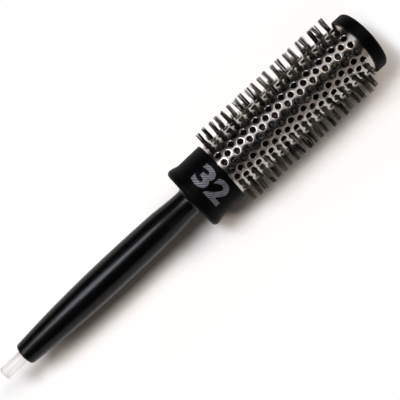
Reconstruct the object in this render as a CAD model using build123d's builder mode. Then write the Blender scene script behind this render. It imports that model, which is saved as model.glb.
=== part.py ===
# A round barrel brush for blow-drying: a perforated aluminium barrel with straight strips of bristle
# standing through its holes, a slim hollow handle, and a clear pick for parting hair kept in its tail.
# The brush lies along X, with the handle towards -X, and rests on its two lowest strips at Z = 0.
# The origin is on that surface, under the middle of the brush's length.

import os
from math import cos, radians, sin

from build123d import *

# Driving dimensions, in millimetres and degrees

# Handle, a hollow moulding of revolution
handle_length = 119.6  # from its tail to the collar
tail_diameter = 12.8
tail_rounding = 1.8
swell_diameter = 18.4
swell_station = 65.0  # from the tail
shoulder_fall = 0.42  # from the swell, measured on the radius
shoulder_station = 22.0  # back from the collar
neck_diameter = 15.4
neck_land = 2.0  # straight neck behind the collar
foot_flare = 1.9  # radius of the neck's flare on to the collar
handle_bore = 12.0  # the hollow, open at the neck
plug_stop = 6.0  # wall ahead of the pick's plug, which the needle passes

# Pick, kept in the tail
pick_diameter = 7.1
pick_stub = 14.4  # clear length that shows behind the tail
pick_plug_length = 20.0  # same diameter, inside the tail
pick_edge = 0.4
needle_root_diameter = 4.4
needle_tip_diameter = 1.6
needle_length = 45.0
needle_clearance = 0.4  # around the needle where it passes the plug's stop
pick_fit = 0.05  # radial, so that the pick slides

# Collar, a bell between the handle and the barrel
collar_length = 22.8
lip_rise = 1.15  # of the lip above the waist, measured on the radius
lip_rounding = 2.3
lip_fall = 6.0  # length over which the lip falls to the waist
waist_wall = 1.6  # beyond the barrel's seat
mouth_wall = 1.75
mouth_edge = 0.5
collar_end_wall = 3.0
barrel_ledge = 1.6  # step that the barrel's end stands against

# Barrel, a tube with one flat along each row of holes
barrel_diameter = 32.0  # across its corners
barrel_wall = 0.7
barrel_length = 95.4  # that shows, from collar to cap
barrel_in_collar = 8.0
barrel_in_cap = 3.0
seat_fit = 0.1  # radial, between the barrel and what holds its ends
holes_per_ring = 20
ring_pitch = 4.39  # neighbouring rings are half a hole out of step
first_ring = 3.2  # from the collar to the middle of the first ring
plain_band = 4.0  # least plain metal before the cap
hole_width = 2.3  # around the barrel
hole_length = 3.4  # along the barrel
hole_side = 2.0  # straight sides of the hole

# Bristle strips, each over two neighbouring rows of holes
rows_per_strip = 5  # two rows that carry bristle and three that stay clear
first_strip_row = 2
backing_width = 5.2
backing_thickness = 1.5
backing_fit = 0.12  # radial, between a backing's top corners and the barrel
backing_lead = 2.6  # backing behind its first tufts
bristle_height = 7.9  # from the barrel to the tips
strands_per_tuft = 2
strand_spacing = 1.2
strand_radius = 0.52
strand_sides = 3
strand_splay = 3.5
strand_root_depth = 0.8  # below the backing's top
rest_depth = 0.5  # how much of the lowest tips is flat on the surface below

# Core, the star-shaped moulding that carries the strips
hub_diameter = 10.0
rib_thickness = 1.8
rib_head_width = 4.4
rib_head_thickness = 1.0
core_flange_thickness = 3.0
spigot_length = 28.0  # inside the handle
spigot_bore = 7.5  # the spigot is cored out from its open end
spigot_fit = 0.05  # radial

# End cap
cap_length = 7.2
cap_wall = 1.6  # around the barrel's end
cap_edge = 2.2
cap_rim_edge = 0.4
cap_end_wall = 2.8
cap_plug_length = 5.0  # ring that centres the barrel
cap_plug_wall = 2.0
cap_stem_diameter = 5.6
cap_stem_length = 12.0  # into the core
stem_fit = 0.05  # radial
end_play = 0.2  # between the ends of the strips or core and what lies beyond them

# Radii
tail_radius = tail_diameter / 2
neck_radius = neck_diameter / 2
pick_radius = pick_diameter / 2
barrel_radius = barrel_diameter / 2
swell_radius = swell_diameter / 2
tip_radius = barrel_radius + bristle_height
spigot_radius = handle_bore / 2 - spigot_fit
seat_radius = barrel_radius + seat_fit
waist_radius = seat_radius + waist_wall
cap_radius = seat_radius + cap_wall

# Rows of holes: odd rows belong to the first ring and every second one after it, even rows to the others
row_count = 2 * holes_per_ring
row_angle = 360 / row_count
strip_count = row_count // rows_per_strip
strip_angle = rows_per_strip * row_angle
first_strip_angle = (first_strip_row + 0.5) * row_angle
flat_radius = barrel_radius * cos(radians(row_angle / 2))
inner_flat_radius = flat_radius - barrel_wall
backing_top = ((inner_flat_radius - backing_fit) ** 2 - (backing_width / 2) ** 2) ** 0.5
backing_floor = backing_top - backing_thickness
strand_root = backing_top - strand_root_depth

# Height of the axis: the lowest rows of tips stand a little way either side of straight down
lowest_row_angle = (strip_angle - row_angle) / 2
axis_height = tip_radius * cos(radians(lowest_row_angle)) - rest_depth

# Stations along X
overall_length = pick_stub + handle_length + collar_length + barrel_length + cap_length
pick_end = -overall_length / 2
tail = pick_end + pick_stub
collar_face = tail + handle_length
collar_mouth = collar_face + collar_length
cap_face = collar_mouth + barrel_length
cap_end = cap_face + cap_length
barrel_start = collar_mouth - barrel_in_collar
barrel_end = cap_face + barrel_in_cap
plug_end = tail + pick_plug_length
hollow_end = plug_end + plug_stop
flange_face = collar_face + collar_end_wall
core_start = flange_face + core_flange_thickness
cap_plug_face = barrel_end - cap_plug_length
core_end = cap_plug_face - end_play

ring_count = int((barrel_length - first_ring - plain_band) / ring_pitch) + 1
ring_stations = [collar_mouth + first_ring + i * ring_pitch for i in range(ring_count)]
backing_start = ring_stations[0] - backing_lead
backing_end = core_end - end_play

axis_point = Vector(0, 0, axis_height)
brush_axis = Axis(axis_point, (1, 0, 0))
profile_plane = Plane(axis_point, x_dir=(1, 0, 0), z_dir=(0, -1, 0))  # local x along the brush, y outward


def cross_plane(station):
    # Across the brush, with local x towards +Y and local y up
    return Plane(axis_point + Vector(station, 0, 0), x_dir=(0, 1, 0), z_dir=(1, 0, 0))


def outward(angle):
    # Radial direction at an angle from straight up, positive towards -Y
    return Vector(0, -sin(radians(angle)), cos(radians(angle)))


def radial_plane(angle, radius):
    # Tangent to a circle of that radius, with local x along the brush and its normal outward
    return Plane(axis_point + outward(angle) * radius, x_dir=(1, 0, 0), z_dir=outward(angle))


def row_rings(row):
    # Stations of the rings that have a hole in this row
    return ring_stations[(row + 1) % 2 :: 2]


# Handle: the grip swells from its rounded tail, then draws in to the neck and flares on to the collar.

tail_point = (tail, tail_radius)
swell_point = (tail + swell_station, swell_radius)
shoulder_point = (collar_face - shoulder_station, swell_radius - shoulder_fall)
neck_point = (collar_face - foot_flare - neck_land, neck_radius)
flare_start = (collar_face - foot_flare, neck_radius)
flare_end = (collar_face, neck_radius + foot_flare)
flare_centre = (collar_face - foot_flare, neck_radius + foot_flare)


def swell_arc_radius(end_point):
    # Radius of the arc that leaves the swell parallel to the axis and falls to the end point
    run = end_point[0] - swell_point[0]
    fall = swell_point[1] - end_point[1]
    return (run**2 + fall**2) / (2 * fall)


with BuildPart() as handle:
    with BuildSketch(profile_plane):
        with BuildLine():
            Line((tail, 0), tail_point)
            RadiusArc(tail_point, swell_point, swell_arc_radius(tail_point))
            front = RadiusArc(swell_point, shoulder_point, swell_arc_radius(shoulder_point))
            Spline(shoulder_point, neck_point, tangents=[front % 1, (1, 0)])
            Line(neck_point, flare_start)
            CenterArc(flare_centre, foot_flare, -90, 90)
            Polyline(flare_end, (collar_face, 0), (tail, 0))
        make_face()
    revolve(axis=brush_axis)
    fillet(handle.edges().filter_by(GeomType.CIRCLE).sort_by(Axis.X)[0], radius=tail_rounding)

    with BuildSketch(cross_plane(collar_face)):
        Circle(handle_bore / 2)
    extrude(amount=-(collar_face - hollow_end), mode=Mode.SUBTRACT)
    with BuildSketch(cross_plane(tail)):
        Circle(pick_radius + pick_fit)
    extrude(amount=pick_plug_length, mode=Mode.SUBTRACT)
    with BuildSketch(cross_plane(plug_end)):
        Circle(needle_root_diameter / 2 + needle_clearance)
    extrude(amount=hollow_end - plug_end, mode=Mode.SUBTRACT)

handle.part.label = "handle"


# Pick: a plain clear rod whose inner end is drawn down to a blunt needle.

needle_root = (plug_end, needle_root_diameter / 2)
needle_shoulder = (plug_end + needle_length - needle_tip_diameter / 2, needle_tip_diameter / 2)

with BuildPart() as sectioning_pick:
    with BuildSketch(profile_plane):
        with BuildLine():
            Polyline((pick_end, 0), (pick_end, pick_radius), (plug_end, pick_radius), needle_root, needle_shoulder)
            CenterArc((needle_shoulder[0], 0), needle_tip_diameter / 2, 0, 90)
            Line((plug_end + needle_length, 0), (pick_end, 0))
        make_face()
    revolve(axis=brush_axis)
    chamfer(sectioning_pick.edges().filter_by(GeomType.CIRCLE).sort_by(Axis.X)[0], length=pick_edge)

sectioning_pick.part.label = "sectioning_pick"


# Collar: a bell with a rolled lip at its closed end, a seat for the barrel in its mouth,
# and a cavity behind that seat for the core's flange.

collar_hole = spigot_radius + spigot_fit
cavity_radius = seat_radius - barrel_ledge
lip_start = (collar_face, waist_radius + lip_rise - lip_rounding)
lip_top = (collar_face + lip_rounding, waist_radius + lip_rise)
waist_point = (collar_face + lip_rounding + lip_fall, waist_radius)
mouth_point = (collar_mouth, seat_radius + mouth_wall)

with BuildPart() as collar:
    with BuildSketch(profile_plane):
        with BuildLine():
            Line((collar_face, collar_hole), lip_start)
            CenterArc((lip_top[0], lip_start[1]), lip_rounding, 90, 90)
            Spline(lip_top, waist_point, tangents=[(1, 0), (1, 0)])
            Polyline(
                waist_point,
                mouth_point,
                (collar_mouth, seat_radius),
                (barrel_start, seat_radius),
                (barrel_start, cavity_radius),
                (flange_face, cavity_radius),
                (flange_face, collar_hole),
                (collar_face, collar_hole),
            )
        make_face()
    revolve(axis=brush_axis)
    mouth_rims = collar.edges().filter_by(GeomType.CIRCLE).group_by(Axis.X)[-1]
    chamfer(mouth_rims.sort_by(SortBy.RADIUS)[-1], length=mouth_edge)

collar.part.label = "collar"


# Barrel: every row of holes runs along its own flat, and neighbouring rows are staggered.

with BuildPart() as barrel:
    with BuildSketch(cross_plane(barrel_start)):
        RegularPolygon(flat_radius, row_count, major_radius=False, rotation=row_angle / 2)
        RegularPolygon(inner_flat_radius, row_count, major_radius=False, rotation=row_angle / 2, mode=Mode.SUBTRACT)
    extrude(amount=barrel_end - barrel_start)

    for row in range(row_count):
        with BuildSketch(radial_plane(row * row_angle, backing_top)):
            with Locations(*[(station, 0) for station in row_rings(row)]):
                Polygon(
                    (hole_length / 2, 0),
                    (hole_side / 2, hole_width / 2),
                    (-hole_side / 2, hole_width / 2),
                    (-hole_length / 2, 0),
                    (-hole_side / 2, -hole_width / 2),
                    (hole_side / 2, -hole_width / 2),
                )
    extrude(amount=barrel_radius - backing_top + barrel_wall, mode=Mode.SUBTRACT)

barrel.part.label = "barrel"


# Core: a spigot in the handle, a flange in the collar, and a hub with one headed rib under each strip.

with BuildPart() as core:
    with BuildSketch(cross_plane(collar_face - spigot_length)):
        Circle(spigot_radius)
    extrude(amount=spigot_length + collar_end_wall)
    with BuildSketch(cross_plane(flange_face)):
        Circle(cavity_radius - seat_fit)
    extrude(amount=core_flange_thickness)
    with BuildSketch(cross_plane(core_start)):
        Circle(hub_diameter / 2)
        with PolarLocations(0, strip_count, 90 + first_strip_angle, strip_count * strip_angle):
            Rectangle(backing_floor, rib_thickness, align=(Align.MIN, Align.CENTER))
        with PolarLocations(backing_floor, strip_count, 90 + first_strip_angle, strip_count * strip_angle):
            Rectangle(rib_head_thickness, rib_head_width, align=(Align.MAX, Align.CENTER))
    extrude(amount=core_end - core_start)
    with BuildSketch(cross_plane(collar_face - spigot_length)):
        Circle(spigot_bore / 2)
    extrude(amount=spigot_length + collar_end_wall, mode=Mode.SUBTRACT)
    with BuildSketch(cross_plane(core_end)):
        Circle(cap_stem_diameter / 2 + stem_fit)
    extrude(amount=-(cap_stem_length + end_play), mode=Mode.SUBTRACT)

core.part.label = "core"


# End cap: a shallow cup that covers the barrel's end, with a ring inside the barrel and a stem in the core.

cap_plug_radius = inner_flat_radius - seat_fit
stem_end = core_end - cap_stem_length
cap_floor = cap_end - cap_end_wall

with BuildPart() as end_cap:
    with BuildSketch(profile_plane):
        with BuildLine():
            Polyline(
                (stem_end, 0),
                (stem_end, cap_stem_diameter / 2),
                (cap_floor, cap_stem_diameter / 2),
                (cap_floor, cap_plug_radius - cap_plug_wall),
                (cap_plug_face, cap_plug_radius - cap_plug_wall),
                (cap_plug_face, cap_plug_radius),
                (barrel_end, cap_plug_radius),
                (barrel_end, seat_radius),
                (cap_face, seat_radius),
                (cap_face, cap_radius),
                (cap_end, cap_radius),
                (cap_end, 0),
                close=True,
            )
        make_face()
    revolve(axis=brush_axis)
    cap_rims = end_cap.edges().filter_by(GeomType.CIRCLE)
    fillet(cap_rims.group_by(Axis.X)[-1], radius=cap_edge)
    near_rims = end_cap.edges().filter_by(GeomType.CIRCLE).filter_by_position(Axis.X, cap_face, cap_face)
    chamfer(near_rims.sort_by(SortBy.RADIUS)[-1], length=cap_rim_edge)

end_cap.part.label = "end_cap"


# Bristle strips: a backing bar with a tuft at each ring, first in one row of holes and then in the other.


def strand_planes(row):
    planes = []
    for station in row_rings(row):
        for strand in range(strands_per_tuft):
            side = strand - (strands_per_tuft - 1) / 2
            lean = outward(row * row_angle) + Vector(sin(radians(2 * side * strand_splay)), 0, 0)
            root = axis_point + outward(row * row_angle) * strand_root
            foot = root + Vector(station + side * strand_spacing, 0, 0)
            planes.append(Plane(foot, x_dir=(1, 0, 0), z_dir=lean))
    return planes


def bristle_strip(index):
    low_row = first_strip_row + index * rows_per_strip
    middle_angle = (low_row + 0.5) * row_angle
    strand_length = (tip_radius - strand_root) / cos(radians(strand_splay))
    with BuildPart() as strip:
        with BuildSketch(radial_plane(middle_angle, backing_floor)):
            with Locations(((backing_start + backing_end) / 2, 0)):
                Rectangle(backing_end - backing_start, backing_width)
        extrude(amount=backing_thickness)
        with BuildSketch(*strand_planes(low_row), *strand_planes(low_row + 1)):
            RegularPolygon(strand_radius, strand_sides)
        extrude(amount=strand_length)
        split(bisect_by=Plane.XY)
    return strip.part


bristle_strips = []
for index in range(strip_count):
    bristles = bristle_strip(index)
    bristles.label = f"bristle_strip_{index + 1}"
    bristle_strips.append(bristles)


os.makedirs("parts", exist_ok=True)
export_step(handle.part, "parts/handle.step")
export_step(sectioning_pick.part, "parts/sectioning_pick.step")
export_step(collar.part, "parts/collar.step")
export_step(barrel.part, "parts/barrel.step")
export_step(core.part, "parts/core.step")
export_step(end_cap.part, "parts/end_cap.step")
for bristles in bristle_strips:
    export_step(bristles, f"parts/{bristles.label}.step")
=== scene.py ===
import math
import random

import bmesh
import bpy
from mathutils import Matrix, Vector


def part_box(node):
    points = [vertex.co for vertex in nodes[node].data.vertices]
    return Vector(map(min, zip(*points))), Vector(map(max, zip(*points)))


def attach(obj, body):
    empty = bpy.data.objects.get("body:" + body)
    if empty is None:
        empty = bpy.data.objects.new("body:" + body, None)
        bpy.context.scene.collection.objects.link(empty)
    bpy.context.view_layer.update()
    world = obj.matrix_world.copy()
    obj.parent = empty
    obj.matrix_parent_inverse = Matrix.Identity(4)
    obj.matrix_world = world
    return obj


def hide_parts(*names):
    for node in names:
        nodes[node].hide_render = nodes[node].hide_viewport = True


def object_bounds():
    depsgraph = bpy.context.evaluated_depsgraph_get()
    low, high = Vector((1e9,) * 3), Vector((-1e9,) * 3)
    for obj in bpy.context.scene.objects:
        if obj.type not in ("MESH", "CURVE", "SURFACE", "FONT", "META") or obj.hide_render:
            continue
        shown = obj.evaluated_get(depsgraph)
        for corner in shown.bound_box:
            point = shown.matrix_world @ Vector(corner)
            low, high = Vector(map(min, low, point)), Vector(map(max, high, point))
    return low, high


# A round barrel brush for blow-drying, lying on pale paper under studio softboxes.
# The brush runs along X, handle towards -X. Angles go round its axis from straight up, towards -Y.
# Lengths in the dictionaries are in millimetres, unless a note says otherwise.

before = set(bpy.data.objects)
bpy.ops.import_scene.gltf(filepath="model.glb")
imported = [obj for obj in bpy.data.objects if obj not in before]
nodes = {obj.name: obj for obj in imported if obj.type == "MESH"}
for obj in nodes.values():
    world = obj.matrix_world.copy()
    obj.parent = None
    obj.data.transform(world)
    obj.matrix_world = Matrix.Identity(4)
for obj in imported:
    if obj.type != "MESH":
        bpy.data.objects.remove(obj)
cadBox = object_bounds()
mm = 0.001
alongBrush = Vector((1, 0, 0))

collarLow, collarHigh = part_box("collar")
barrelLow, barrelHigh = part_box("barrel")
axisHeight = (collarLow.z + collarHigh.z) / 2
print("frame loaded, axis at", round(axisHeight / mm, 2), "mm")


def onBrush(station, angle, radius):
    # A point beside the brush's axis, in metres, with the angle in radians
    return Vector((station, -radius * math.sin(angle), axisHeight + radius * math.cos(angle)))


def outwardAt(angle):
    # Direction straight out from the axis
    return onBrush(0, angle, 1) - onBrush(0, angle, 0)


def finishMesh(mesh, name, crease=None):
    # Smooth shading, broken where faces meet at more than the crease's degrees
    data = bpy.data.meshes.new(name)
    mesh.to_mesh(data)
    mesh.free()
    data.shade_smooth()
    if crease:
        data.set_sharp_from_angle(angle=math.radians(crease))
    return data


def newPiece(name, mesh, body, material):
    piece = bpy.data.objects.new(name, mesh)
    bpy.context.scene.collection.objects.link(piece)
    mesh.materials.append(material)
    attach(piece, body)
    return piece


# Materials

noiseLow, noiseHigh = 0.3, 0.7  # nearly all of a noise texture lies between these
waveBands = 20 / (2 * math.pi)  # bands that a wave texture has in one unit
mixFirst, mixSecond, mixResult = 6, 7, 2  # a colour mix's two colours and its result, by number


def fromHex(code):
    # sRGB hex to linear colour
    channels = [int(code[i:i + 2], 16) / 255 for i in (1, 3, 5)]
    return [c / 12.92 if c <= 0.04045 else ((c + 0.055) / 1.055) ** 2.4 for c in channels] + [1]


def addNode(tree, kind, settings={}, inputs={}):
    node = tree.nodes.new(kind)
    for name, value in settings.items():
        setattr(node, name, value)
    for name, value in inputs.items():
        if isinstance(value, bpy.types.NodeSocket):
            tree.links.new(value, node.inputs[name])
        else:
            node.inputs[name].default_value = value
    return node


def emptyMaterial(name):
    material = bpy.data.materials.new(name)
    material.use_nodes = True
    material.node_tree.nodes.clear()
    return material


def perMetre(size):
    # Texture scale that gives features of that size in millimetres
    return 1 / (size * mm)


def unevenRoughness(tree, place, look):
    # Roughness that wanders from patch to patch
    patches = addNode(tree, "ShaderNodeTexNoise", {}, {
        "Vector": place, "Scale": perMetre(look["patchSize"]), "Detail": look["patchDetail"]})
    return addNode(tree, "ShaderNodeMapRange", {}, {
        "Value": patches.outputs["Fac"], "From Min": noiseLow, "From Max": noiseHigh,
        "To Min": look["roughness"] - look["patchSpread"] / 2,
        "To Max": look["roughness"] + look["patchSpread"] / 2}).outputs["Result"]


def grainNormal(tree, place, look):
    # The fine relief that the tool or the etch left
    grain = addNode(tree, "ShaderNodeTexNoise", {}, {
        "Vector": place, "Scale": perMetre(look["grainSize"]), "Detail": look["grainDetail"]})
    return addNode(tree, "ShaderNodeBump", {}, {
        "Strength": look["grainStrength"], "Distance": look["grainDepth"] * mm,
        "Height": grain.outputs["Fac"]}).outputs["Normal"]


def blackMoulding(name, look):
    material = emptyMaterial(name)
    tree = material.node_tree
    place = addNode(tree, "ShaderNodeTexCoord").outputs["Object"]
    surface = addNode(tree, "ShaderNodeBsdfPrincipled", {}, {
        "Base Color": fromHex(look["colour"]), "IOR": look["ior"],
        "Specular IOR Level": look["specular"],
        "Roughness": unevenRoughness(tree, place, look),
        "Normal": grainNormal(tree, place, look)})
    addNode(tree, "ShaderNodeOutputMaterial", {}, {"Surface": surface.outputs["BSDF"]})
    return material


glossBlack = {
    "colour": "#040404",
    "ior": 1.46,
    "specular": 0.23,
    "roughness": 0.24,
    "patchSize": 9.0,
    "patchSpread": 0.06,  # how much the roughness wanders where hands have polished it
    "patchDetail": 3.0,
    "grainSize": 1.6,
    "grainDepth": 0.004,
    "grainDetail": 1.0,
    "grainStrength": 0.5,
}


def glossBlackAbs():
    # ABS, injection moulded in a polished tool: near mirror gloss over a moulding's faint waviness
    return blackMoulding("glossBlackAbs", glossBlack)


satinBlack = {
    "colour": "#040404",
    "ior": 1.46,
    "specular": 0.035,
    "roughness": 0.42,
    "patchSize": 7.0,
    "patchSpread": 0.08,
    "patchDetail": 3.0,
    "grainSize": 0.3,  # coarser than the real etch, so that it shows
    "grainDepth": 0.008,
    "grainDetail": 1.0,
    "grainStrength": 0.5,
}


def satinBlackAbs():
    # The same ABS from a finely etched tool: its shine is spread so thin that it looks dead black
    return blackMoulding("satinBlackAbs", satinBlack)


satinMetal = {
    "colour": "#B2ADA9",
    "roughness": 0.21,
    "patchSize": 6.0,
    "patchSpread": 0.06,
    "patchDetail": 4.0,
    "grainSize": 0.35,  # coarser than the real etch, so that it shows
    "grainDepth": 0.004,
    "grainDetail": 2.0,
    "grainStrength": 0.5,
}


def satinAluminium():
    # Aluminium sheet, drawn and clear anodised: bright, with a soft directionless satin
    material = emptyMaterial("satinAluminium")
    tree = material.node_tree
    place = addNode(tree, "ShaderNodeTexCoord").outputs["Object"]
    surface = addNode(tree, "ShaderNodeBsdfPrincipled", {}, {
        "Base Color": fromHex(satinMetal["colour"]), "Metallic": 1.0,
        "Roughness": unevenRoughness(tree, place, satinMetal),
        "Normal": grainNormal(tree, place, satinMetal)})
    addNode(tree, "ShaderNodeOutputMaterial", {}, {"Surface": surface.outputs["BSDF"]})
    return material


moulded = {
    "colour": "#513F37",
    "roughness": 0.55,
    "grainSize": 0.5,
    "grainDepth": 0.01,
    "grainDetail": 2.0,
    "grainStrength": 0.6,
}


def mattNylon():
    # Glass filled nylon, moulded with a spark-eroded matt face
    material = emptyMaterial("mattNylon")
    tree = material.node_tree
    place = addNode(tree, "ShaderNodeTexCoord").outputs["Object"]
    surface = addNode(tree, "ShaderNodeBsdfPrincipled", {}, {
        "Base Color": fromHex(moulded["colour"]), "Roughness": moulded["roughness"],
        "Normal": grainNormal(tree, place, moulded)})
    addNode(tree, "ShaderNodeOutputMaterial", {}, {"Surface": surface.outputs["BSDF"]})
    return material


milky = {"colour": "#FFFDFC", "ior": 1.49, "roughness": 0.2, "clearness": 0.6}


def milkyPolypropylene():
    # Polypropylene without pigment, injection moulded: milky, so that it glows with the light
    # that falls through it
    material = emptyMaterial("milkyPolypropylene")
    tree = material.node_tree
    surface = addNode(tree, "ShaderNodeBsdfPrincipled", {}, {
        "Base Color": fromHex(milky["colour"]), "IOR": milky["ior"],
        "Roughness": milky["roughness"], "Transmission Weight": milky["clearness"]})
    addNode(tree, "ShaderNodeOutputMaterial", {}, {"Surface": surface.outputs["BSDF"]})
    return material


filament = {"dark": "#0C0B09", "pale": "#989080", "specular": 0.07, "roughness": 0.5}


def bristleNylon():
    # Extruded nylon filament: each is one shade between charcoal and silver grey, with a faint
    # waxy shine; the shade attribute also carries painted shade, darker towards the root and in the
    # tuft's heart
    material = emptyMaterial("bristleNylon")
    tree = material.node_tree
    shade = addNode(tree, "ShaderNodeAttribute", {"attribute_name": "shade"})
    colour = addNode(tree, "ShaderNodeMix", {"data_type": "RGBA"}, {
        "Factor": shade.outputs["Fac"], mixFirst: fromHex(filament["dark"]),
        mixSecond: fromHex(filament["pale"])})
    surface = addNode(tree, "ShaderNodeBsdfPrincipled", {}, {
        "Base Color": colour.outputs[mixResult], "Specular IOR Level": filament["specular"],
        "Roughness": filament["roughness"]})
    addNode(tree, "ShaderNodeOutputMaterial", {}, {"Surface": surface.outputs["BSDF"]})
    return material


ink = {
    "colour": "#74747F",
    "worn": "#1E1D22",
    "roughness": 0.5,
    "linePitch": 0.9,
    "lineWaver": 1.5,
    "lineDetail": 2.0,
    "rubSize": 2.5,  # patches where hands have rubbed it
    "rubDetail": 3.0,
    "wholeFrom": 0.6,  # lines times patches, from which the ink is whole
}


def silverInk():
    # Pad printed silver ink, laid on in fine slanting lines and rubbed thin by hands
    material = emptyMaterial("silverInk")
    tree = material.node_tree
    place = addNode(tree, "ShaderNodeTexCoord").outputs["Object"]
    lines = addNode(tree, "ShaderNodeTexWave", {
        "wave_type": "BANDS", "bands_direction": "DIAGONAL"}, {
        "Vector": place, "Scale": perMetre(ink["linePitch"]) / waveBands,
        "Distortion": ink["lineWaver"], "Detail": ink["lineDetail"]})
    rubbed = addNode(tree, "ShaderNodeTexNoise", {}, {
        "Vector": place, "Scale": perMetre(ink["rubSize"]), "Detail": ink["rubDetail"]})
    left = addNode(tree, "ShaderNodeMath", {"operation": "MULTIPLY"}, {
        0: lines.outputs["Fac"], 1: rubbed.outputs["Fac"]})
    share = addNode(tree, "ShaderNodeMapRange", {}, {
        "Value": left.outputs[0], "From Min": 0.0, "From Max": ink["wholeFrom"]})
    colour = addNode(tree, "ShaderNodeMix", {"data_type": "RGBA"}, {
        "Factor": share.outputs["Result"], mixFirst: fromHex(ink["worn"]),
        mixSecond: fromHex(ink["colour"])})
    surface = addNode(tree, "ShaderNodeBsdfPrincipled", {}, {
        "Base Color": colour.outputs[mixResult], "Roughness": ink["roughness"]})
    addNode(tree, "ShaderNodeOutputMaterial", {}, {"Surface": surface.outputs["BSDF"]})
    return material


def seenDirectly(tree):
    # 1 for what the camera sees, plainly or in a reflection or through something clear, and 0
    # for light on a surface
    path = addNode(tree, "ShaderNodeLightPath")
    seen = addNode(tree, "ShaderNodeMath", {"operation": "MAXIMUM"}, {
        0: path.outputs["Is Camera Ray"], 1: path.outputs["Is Glossy Ray"]})
    return addNode(tree, "ShaderNodeMath", {"operation": "MAXIMUM"}, {
        0: seen.outputs[0], 1: path.outputs["Is Transmission Ray"]}).outputs[0]


paper = {
    "colour": "#FCFCFB",
    "shadeEnds": 36.0,  # from the line under the brush, where its shadow has faded
    "whiteFrom": 64.0,  # from that line, where the paper is blank white to the eye
    "endHaste": 3.5,  # how many times nearer both are beyond the brush's two ends
}


def whitePaper():
    # Photographic background paper, matt and lit to white: near the brush it takes the real
    # light and shadow
    material = emptyMaterial("whitePaper")
    tree = material.node_tree
    place = addNode(tree, "ShaderNodeNewGeometry").outputs["Position"]
    # the nearest point of the line under the brush, and how far away it is
    nearest = addNode(tree, "ShaderNodeVectorMath", {"operation": "MINIMUM"}, {
        0: place, 1: (cadBox[1][0], 0, 0)}).outputs[0]
    nearest = addNode(tree, "ShaderNodeVectorMath", {"operation": "MAXIMUM"}, {
        0: nearest, 1: (cadBox[0][0], 0, 0)}).outputs[0]
    gap = addNode(tree, "ShaderNodeVectorMath", {"operation": "SUBTRACT"}, {
        0: place, 1: nearest}).outputs[0]
    gap = addNode(tree, "ShaderNodeVectorMath", {"operation": "MULTIPLY"}, {
        0: gap, 1: (paper["endHaste"], 1, 1)}).outputs[0]
    gap = addNode(tree, "ShaderNodeVectorMath", {"operation": "LENGTH"}, {0: gap})
    blank = addNode(tree, "ShaderNodeMapRange", {"interpolation_type": "SMOOTHSTEP"}, {
        "Value": gap.outputs["Value"], "From Min": paper["shadeEnds"] * mm,
        "From Max": paper["whiteFrom"] * mm})
    share = addNode(tree, "ShaderNodeMath", {"operation": "MULTIPLY"}, {
        0: seenDirectly(tree), 1: blank.outputs["Result"]})
    matt = addNode(tree, "ShaderNodeBsdfDiffuse", {}, {"Color": fromHex(paper["colour"])})
    white = addNode(tree, "ShaderNodeEmission", {}, {"Strength": 1.0})
    surface = addNode(tree, "ShaderNodeMixShader", {}, {
        0: share.outputs[0], 1: matt.outputs["BSDF"], 2: white.outputs["Emission"]})
    addNode(tree, "ShaderNodeOutputMaterial", {}, {"Surface": surface.outputs["Shader"]})
    return material


blackFinish = glossBlackAbs()
etchedFinish = satinBlackAbs()
metalFinish = satinAluminium()
coreFinish = mattNylon()
milkyFinish = milkyPolypropylene()
bristleFinish = bristleNylon()
for name, finish in (
    ("handle", blackFinish),
    ("collar", etchedFinish),
    ("end_cap", etchedFinish),
    ("core", coreFinish),
    ("sectioning_pick", milkyFinish),
):
    nodes[name].data.materials.clear()
    nodes[name].data.materials.append(finish)
print("materials made")


# Barrel: one honeycomb cell round each hole, wrapped on to the tube

barrel = {
    "radius": 15.98,
    "wall": 0.7,
    "holesPerRing": 20,
    "rings": 21,
    "ringPitch": 4.39,
    "firstRing": 3.2,  # from the collar's mouth
    "holeRadius": 1.68,
    "lipWidth": 0.24,  # rounded edge of each hole
    "lipDepth": 0.2,
    # shares of the lip's width and depth, from its outer edge inwards
    "lipCurve": ((1.0, 0.0), (0.5, 0.13), (0.15, 0.5), (0.0, 1.0)),
    "backEdge": 0.08,  # bevel of each hole inside the barrel
    "sidesPerEdge": 4,  # of a cell's six edges
    "weld": 0.01,  # points nearer than this are one
    "crease": 50.0,  # degrees
}
rowAngle = math.radians(180 / barrel["holesPerRing"])
rowCount = 2 * barrel["holesPerRing"]
rowWidth = barrel["radius"] * rowAngle  # along the surface, in mm
ringStations = [collarHigh.x + (barrel["firstRing"] + i * barrel["ringPitch"]) * mm
                for i in range(barrel["rings"])]
samePlane = 1e-7  # metres


def cellOutline():
    # Six sided outline of a cell, in mm along the brush and round it, starting at its tail end
    pitch = barrel["ringPitch"]
    reach = (pitch * pitch + rowWidth * rowWidth) / (2 * pitch)
    corners = [(-reach, 0), (reach - pitch, -rowWidth), (pitch - reach, -rowWidth),
               (reach, 0), (pitch - reach, rowWidth), (reach - pitch, rowWidth)]
    steps = barrel["sidesPerEdge"]
    points = []
    for (x0, y0), (x1, y1) in zip(corners, corners[1:] + corners[:1]):
        points += [(x0 + (x1 - x0) * k / steps, y0 + (y1 - y0) * k / steps) for k in range(steps)]
    return points


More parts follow.
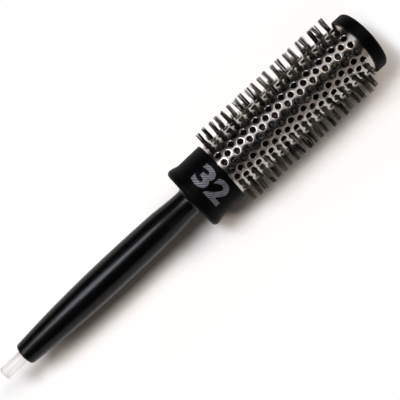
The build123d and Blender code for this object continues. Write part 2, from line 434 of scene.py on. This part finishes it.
def addCell(mesh, outline, station, angle):
    # The metal round one hole: outer face, rolled lip, the hole's wall and the inner face
    hole, wall, back = barrel["holeRadius"], barrel["wall"], barrel["backEdge"]
    sections = [(hole + width * barrel["lipWidth"], depth * barrel["lipDepth"])
                for width, depth in barrel["lipCurve"]]
    sections += [(hole, wall - back), (hole + back, wall)]
    turns = [math.atan2(y, x) for x, y in outline]

    def place(x, y, depth):
        radius = (barrel["radius"] - depth) * mm
        return mesh.verts.new(onBrush(station + x * mm, angle + y / barrel["radius"], radius))

    loops = [[place(x, y, 0) for x, y in outline]]
    for radius, depth in sections:
        loops.append([place(radius * math.cos(t), radius * math.sin(t), depth) for t in turns])
    loops.append([place(x, y, wall) for x, y in outline])
    count = len(outline)
    for outer, inner in zip(loops, loops[1:]):
        for k in range(count):
            after = (k + 1) % count
            mesh.faces.new((outer[k], inner[k], inner[after], outer[after]))


def buildBarrel():
    outline = cellOutline()
    mesh = bmesh.new()
    for ring, station in enumerate(ringStations):
        for row in range(rowCount):
            if (ring + row) % 2:  # every other row, so that neighbouring rings are staggered
                addCell(mesh, outline, station, row * rowAngle)
    bmesh.ops.remove_doubles(mesh, verts=mesh.verts, dist=barrel["weld"] * mm)

    # Plain bands: the saw-toothed edges of the honeycomb run out to straight ends
    middle = (ringStations[0] + ringStations[-1]) / 2
    for atTail, station in ((True, barrelLow.x), (False, barrelHigh.x)):
        edges = [e for e in mesh.edges if e.is_boundary]
        edges = [e for e in edges if (e.verts[0].co.x < middle) == atTail]
        drawn = bmesh.ops.extrude_edge_only(mesh, edges=edges)
        for vert in [g for g in drawn["geom"] if isinstance(g, bmesh.types.BMVert)]:
            vert.co.x = station
        rims = [e for e in mesh.edges
                if e.is_boundary and abs(e.verts[0].co.x - station) < samePlane]
        bmesh.ops.bridge_loops(mesh, edges=rims)
    bmesh.ops.recalc_face_normals(mesh, faces=mesh.faces)
    data = finishMesh(mesh, "barrel", barrel["crease"])
    piece = newPiece("perforatedBarrel", data, "brush", metalFinish)
    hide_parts("barrel")
    holes = barrel["rings"] * barrel["holesPerRing"]
    print("barrel:", holes, "holes,", len(data.polygons), "faces")


buildBarrel()


# Bristles: each strip's tufts zigzag over two neighbouring rows of holes

bristle = {
    "strips": 8,
    "rowsPerStrip": 5,
    "firstRow": 2,
    "filaments": 28,  # in a tuft
    "thickness": 0.27,
    "tipThickness": 0.18,
    # share of the length from the root, and of the thickness there
    "taper": ((0.0, 1.0), (0.4, 1.0), (0.75, 0.95), (0.97, 0.8), (1.0, 0.35)),
    "sides": 4,
    "tipRadius": 23.9,  # from the brush's axis
    "lengthSpread": 0.6,
    "rootDepth": 0.4,  # how deep the filaments stand in the backing
    "rootSpread": 1.2,  # radius of a tuft where it leaves the backing
    "tipSpread": 1.25,
    "spreadRange": (0.85, 1.12),  # share of the tip's spread that a filament may have
    "turnJitter": 0.3,  # radians
    "bend": 0.09,  # how far a filament bows
    "strays": 0.08,  # share of the filaments that stand away from their tuft
    "strayReach": 1.5,  # how many times further out their tips are
    "tuftLean": 0.028,  # how far a whole tuft leans, for each millimetre of its length
    "tuftTint": 0.12,  # how much lighter or darker a tuft may be, of 1
    "filamentTint": 0.15,  # and a filament
    "wisps": 4,
    "wispTint": (0.7, 1.2),  # shape of the spread of shades from charcoal to grey
    "wispLean": 0.04,
    "wispShortness": 0.7,
    "heartShadedPaleness": 0.1,  # share of its paleness that a filament in its tuft's heart keeps, under painted shade
    "rootPaintedShade": 0.8,  # share of its paleness that a filament loses towards its root, as painted shade deep in the tuft
    "backingWidth": 5.2,
    "backingTop": 14.9,  # from the brush's axis
    "backingThickness": 1.5,
    "backingLead": 2.6,  # beyond the first and the last ring
    "crease": 60.0,  # degrees
    "seed": 7,
}
goldenAngle = 2.39996  # radians from filament to filament, which spreads them evenly over a disc


def addFilament(mesh, shades, root, tip, sway, tint):
    # A slightly bowed tapered filament with a rounded tip
    run = (tip - root).normalized()
    side = run.cross(alongBrush).normalized()
    across = run.cross(side)
    sides = bristle["sides"]
    loops = []
    for share, width in bristle["taper"]:
        centre = root.lerp(tip, share) + sway * math.sin(math.pi * share)
        thickness = bristle["thickness"] + (bristle["tipThickness"] - bristle["thickness"]) * share
        radius = width * thickness / 2 * mm
        loop = []
        for k in range(sides):
            turn = 2 * math.pi * k / sides
            rim = side * math.cos(turn) + across * math.sin(turn)
            loop.append(mesh.verts.new(centre + rim * radius))
            # the cut end is darkest, because light that goes in there doesn't come back; towards
            # the root the filament is darkened by painted shade, deep in the tuft
            shades.append(0 if share == 1 else tint * (1 - bristle["rootPaintedShade"] * (1 - share)))
        loops.append(loop)
    for low, high in zip(loops, loops[1:]):
        for k in range(sides):
            after = (k + 1) % sides
            mesh.faces.new((low[k], low[after], high[after], high[k]))
    mesh.faces.new(loops[-1])
    mesh.faces.new(list(reversed(loops[0])))


def addTuft(mesh, shades, station, angle, dice):
    outward = outwardAt(angle)
    around = outward.cross(alongBrush)

    def sideways(along, aside):
        return Vector((along, 0, 0)) + around * aside

    def wander(most):
        return sideways(dice.gauss(0, 1), dice.gauss(0, 1)) * most

    tuftTint = dice.uniform(-bristle["tuftTint"], bristle["tuftTint"])
    lean = wander(bristle["tuftLean"])
    # static and heat gather a tuft's filaments into a few wisps, each with a shade, lean and
    # length of its own
    wisps = [(dice.betavariate(*bristle["wispTint"]), lean + wander(bristle["wispLean"]),
              dice.uniform(0, bristle["wispShortness"])) for k in range(bristle["wisps"])]
    wispTurn = dice.uniform(0, 1)
    root = bristle["backingTop"] - bristle["rootDepth"]
    heart = bristle["heartShadedPaleness"]
    floorGap = bristle["tipThickness"] / 2 * mm
    for k in range(bristle["filaments"]):
        # spread evenly over the tuft's round section
        share = math.sqrt((k + 0.5) / bristle["filaments"])
        turn = k * goldenAngle + dice.uniform(-bristle["turnJitter"], bristle["turnJitter"])
        wisp = int((turn / (2 * math.pi) + wispTurn) % 1 * bristle["wisps"])
        wispTint, lean, shortness = wisps[wisp]
        offset = sideways(math.cos(turn) * share, math.sin(turn) * share)
        spread = bristle["tipSpread"] * dice.uniform(*bristle["spreadRange"])
        if dice.random() < bristle["strays"]:
            spread *= bristle["strayReach"]
        foot = onBrush(station, angle, root * mm)
        foot += offset * bristle["rootSpread"] * mm
        reach = bristle["tipRadius"] - root - shortness - dice.uniform(0, bristle["lengthSpread"])
        head = foot + (outward + lean) * reach * mm
        head += offset * (spread - bristle["rootSpread"]) * mm
        if head.z < floorGap:  # it stops at the table
            head = foot.lerp(head, (foot.z - floorGap) / (foot.z - head.z))
        sway = wander(bristle["bend"] * mm)
        tint = wispTint + tuftTint
        tint += dice.uniform(-bristle["filamentTint"], bristle["filamentTint"])
        # painted shade: filaments towards the tuft's heart are darker
        tint = min(1, max(0, tint)) * (heart + (1 - heart) * share)
        addFilament(mesh, shades, foot, head, sway, tint)


def addBacking(mesh, shades, angle):
    # The bar inside the barrel that a strip's tufts stand in
    around = outwardAt(angle).cross(alongBrush)
    lead = bristle["backingLead"] * mm
    corners = []
    for station in (ringStations[0] - lead, ringStations[-1] + lead):
        for side, depth in ((-1, 0), (1, 0), (1, 1), (-1, 1)):
            radius = bristle["backingTop"] - depth * bristle["backingThickness"]
            point = onBrush(station, angle, radius * mm)
            corners.append(mesh.verts.new(point + around * side * bristle["backingWidth"] / 2 * mm))
            shades.append(0.0)
    ends = ((0, 1, 2, 3), (7, 6, 5, 4))
    for face in ends + ((0, 4, 5, 1), (1, 5, 6, 2), (2, 6, 7, 3), (3, 7, 4, 0)):
        mesh.faces.new([corners[i] for i in face])


def buildStrip(index, dice):
    mesh = bmesh.new()
    shades = []
    lowRow = bristle["firstRow"] + index * bristle["rowsPerStrip"]
    for ring, station in enumerate(ringStations):
        row = lowRow if (ring + lowRow) % 2 else lowRow + 1
        addTuft(mesh, shades, station, row * rowAngle, dice)
    addBacking(mesh, shades, (lowRow + 0.5) * rowAngle)
    bmesh.ops.recalc_face_normals(mesh, faces=mesh.faces)
    data = finishMesh(mesh, "bristles", bristle["crease"])
    attribute = data.attributes.new("shade", "FLOAT", "POINT")
    attribute.data.foreach_set("value", shades)
    piece = newPiece(f"bristleStrip{index + 1}", data, "brush", bristleFinish)
    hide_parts(f"bristle_strip_{index + 1}")


dice = random.Random(bristle["seed"])
for index in range(bristle["strips"]):
    buildStrip(index, dice)
print("bristles:", bristle["strips"] * barrel["rings"] * bristle["filaments"], "filaments")


# Numerals printed on the collar: the barrel's size, upright when the brush stands on its tail

numerals = {
    "text": "32",
    "height": 12.2,
    "width": 21.0,
    "bold": 0.035,  # share of the type's size
    "foot": 7.4,  # from the collar's face
    "middle": 23.0,  # degrees round the axis
    "waist": 17.7,  # radius of the collar's side, carried on to its face
    "mouth": 17.85,  # and to its mouth
    "proud": 0.03,
    "cut": 0.6,  # length of the flats that follow the collar's curve
}


def buildNumerals():
    drawing = bpy.data.curves.new("numerals", "FONT")
    drawing.body = numerals["text"]
    drawing.offset = numerals["bold"]
    draft = bpy.data.objects.new("numeralsDraft", drawing)
    mesh = bmesh.new()
    mesh.from_mesh(bpy.data.meshes.new_from_object(draft))
    bpy.data.objects.remove(draft)
    width, height = numerals["width"], numerals["height"]
    low = [min(v.co[i] for v in mesh.verts) for i in (0, 1)]
    high = [max(v.co[i] for v in mesh.verts) for i in (0, 1)]
    for vert in mesh.verts:
        vert.co.x = ((vert.co.x - low[0]) / (high[0] - low[0]) - 0.5) * width
        vert.co.y = (vert.co.y - low[1]) / (high[1] - low[1]) * height
    steps = int(width / numerals["cut"])
    for k in range(1, steps):
        everything = list(mesh.verts) + list(mesh.edges) + list(mesh.faces)
        bmesh.ops.bisect_plane(mesh, geom=everything, plane_no=(1, 0, 0),
                               plane_co=((k / steps - 0.5) * width, 0, 0))
    # wrapped on to the collar, which widens a little towards its mouth
    reach = (collarHigh.x - collarLow.x) / mm
    widening = numerals["mouth"] - numerals["waist"]
    for vert in mesh.verts:
        station = numerals["foot"] + vert.co.y
        radius = numerals["waist"] + widening * station / reach + numerals["proud"]
        angle = math.radians(numerals["middle"]) + vert.co.x / radius
        vert.co = onBrush(collarLow.x + station * mm, angle, radius * mm)
    data = finishMesh(mesh, "numerals")
    newPiece("collarNumerals", data, "brush", silverInk())
    print("numerals:", len(data.polygons), "faces")


buildNumerals()


# Camera, at the photograph's angle

shot = {
    "roll": 42.98,  # degrees of the brush's axis, from the picture's right
    "fromUpright": 16.9,  # degrees of the view, round the brush's axis towards -Y
    "distance": 490.0,
    "focalPixels": 930.0,
    "pictureWidth": 400.0,  # pixels
    "sensorWidth": 36.0,
    "aimStation": 8.1,
    "aimAside": 3.33,
}


def placeCamera():
    tilt = math.radians(shot["fromUpright"])
    roll = math.radians(shot["roll"])
    aside = Vector((0, -math.cos(tilt), -math.sin(tilt)))  # towards the picture's lower right
    towards = Vector((0, -math.sin(tilt), math.cos(tilt)))  # from the brush to the camera
    right = alongBrush * math.cos(roll) + aside * math.sin(roll)
    up = alongBrush * math.sin(roll) - aside * math.cos(roll)
    aim = Vector((shot["aimStation"] * mm, 0, axisHeight)) + aside * shot["aimAside"] * mm
    data = bpy.data.cameras.new("camera")
    data.sensor_width = shot["sensorWidth"]
    data.lens = shot["focalPixels"] / shot["pictureWidth"] * data.sensor_width
    data.clip_start = 0.01
    data.clip_end = 50
    camera = bpy.data.objects.new("camera", data)
    camera.matrix_world = Matrix.Translation(aim + towards * shot["distance"] * mm) @ Matrix(
        (right, up, towards)).transposed().to_4x4()
    bpy.context.scene.collection.objects.link(camera)
    bpy.context.scene.camera = camera


placeCamera()
print("camera placed")


# Floor and light

floor = {"size": 8.0}  # metres


def layFloor():
    half = floor["size"] / 2
    sheet = bpy.data.meshes.new("floor")
    corners = [(-half, -half, 0), (half, -half, 0), (half, half, 0), (-half, half, 0)]
    sheet.from_pydata(corners, [], [(0, 1, 2, 3)])
    sheet.materials.append(whitePaper())
    floorPiece = bpy.data.objects.new("floor", sheet)
    bpy.context.scene.collection.objects.link(floorPiece)


layFloor()

lamps = {
    # name: place in metres, width and height in metres, radiance, colour
    "key": ((-0.25, 0.22, 1.05), (0.4, 0.5), 11.4, "#EEF5FF"),
    "barrelKey": ((0.26, 0.2, 1.05), (0.46, 0.78), 0.94, "#FBFAFC"),
    "tailFill": ((-0.88, 0.07, 1.05), (0.42, 0.5), 9.1, "#FFF1E4"),
    "capFill": ((0.8, 0.07, 1.05), (0.42, 0.5), 8.3, "#FFF1E4"),
    "barrelCard": ((0.3, -0.8, 0.52), (0.5, 0.42), 0.42, "#FFF0E8"),
}


def addLamp(name, place, size, radiance, colour):
    # A softbox that faces the brush's middle
    data = bpy.data.lights.new(name, "AREA")
    data.shape = "RECTANGLE"
    data.size, data.size_y = size
    data.color = fromHex(colour)[:3]
    data.energy = radiance * math.pi * size[0] * size[1]
    lamp = bpy.data.objects.new(name, data)
    lamp.location = place
    away = lamp.location - Vector((0, 0, axisHeight))
    lamp.rotation_euler = away.to_track_quat("Z", "Y").to_euler()
    bpy.context.scene.collection.objects.link(lamp)


for name, (place, size, radiance, colour) in lamps.items():
    addLamp(name, place, size, radiance, colour)

studio = {
    "ambient": "#3E3A35",  # light that the room itself gives
    "overhead": "#0F0D0B",
    "horizon": "#FFFAF2",
    "whiteUpTo": 4.0,  # degrees above the horizon
    "darkFrom": 20.0,
}


def studioWorld():
    # White to the camera; what shines reflects a white horizon under a dark ceiling
    world = bpy.data.worlds.new("studio")
    world.use_nodes = True
    tree = world.node_tree
    tree.nodes.clear()
    place = addNode(tree, "ShaderNodeTexCoord")
    split = addNode(tree, "ShaderNodeSeparateXYZ", {}, {"Vector": place.outputs["Generated"]})
    height = addNode(tree, "ShaderNodeMath", {"operation": "ARCSINE"}, {0: split.outputs["Z"]})
    glow = addNode(tree, "ShaderNodeMapRange", {"interpolation_type": "SMOOTHSTEP"}, {
        "Value": height.outputs[0], "From Min": math.radians(studio["whiteUpTo"]),
        "From Max": math.radians(studio["darkFrom"]), "To Min": 1.0, "To Max": 0.0})
    reflected = addNode(tree, "ShaderNodeMix", {"data_type": "RGBA"}, {
        "Factor": glow.outputs["Result"], mixFirst: fromHex(studio["overhead"]),
        mixSecond: fromHex(studio["horizon"])})
    colour = addNode(tree, "ShaderNodeMix", {"data_type": "RGBA"}, {
        "Factor": seenDirectly(tree), mixFirst: fromHex(studio["ambient"]),
        mixSecond: reflected.outputs[mixResult]})
    room = addNode(tree, "ShaderNodeBackground", {}, {
        "Color": colour.outputs[mixResult], "Strength": 1.0})
    white = addNode(tree, "ShaderNodeBackground", {}, {"Color": (1, 1, 1, 1), "Strength": 1.0})
    path = addNode(tree, "ShaderNodeLightPath")
    backdrop = addNode(tree, "ShaderNodeMixShader", {}, {
        0: path.outputs["Is Camera Ray"], 1: room.outputs["Background"],
        2: white.outputs["Background"]})
    addNode(tree, "ShaderNodeOutputWorld", {}, {"Surface": backdrop.outputs["Shader"]})
    bpy.context.scene.world = world


studioWorld()
bpy.context.scene.view_settings.view_transform = "Standard"
print("light and floor placed")
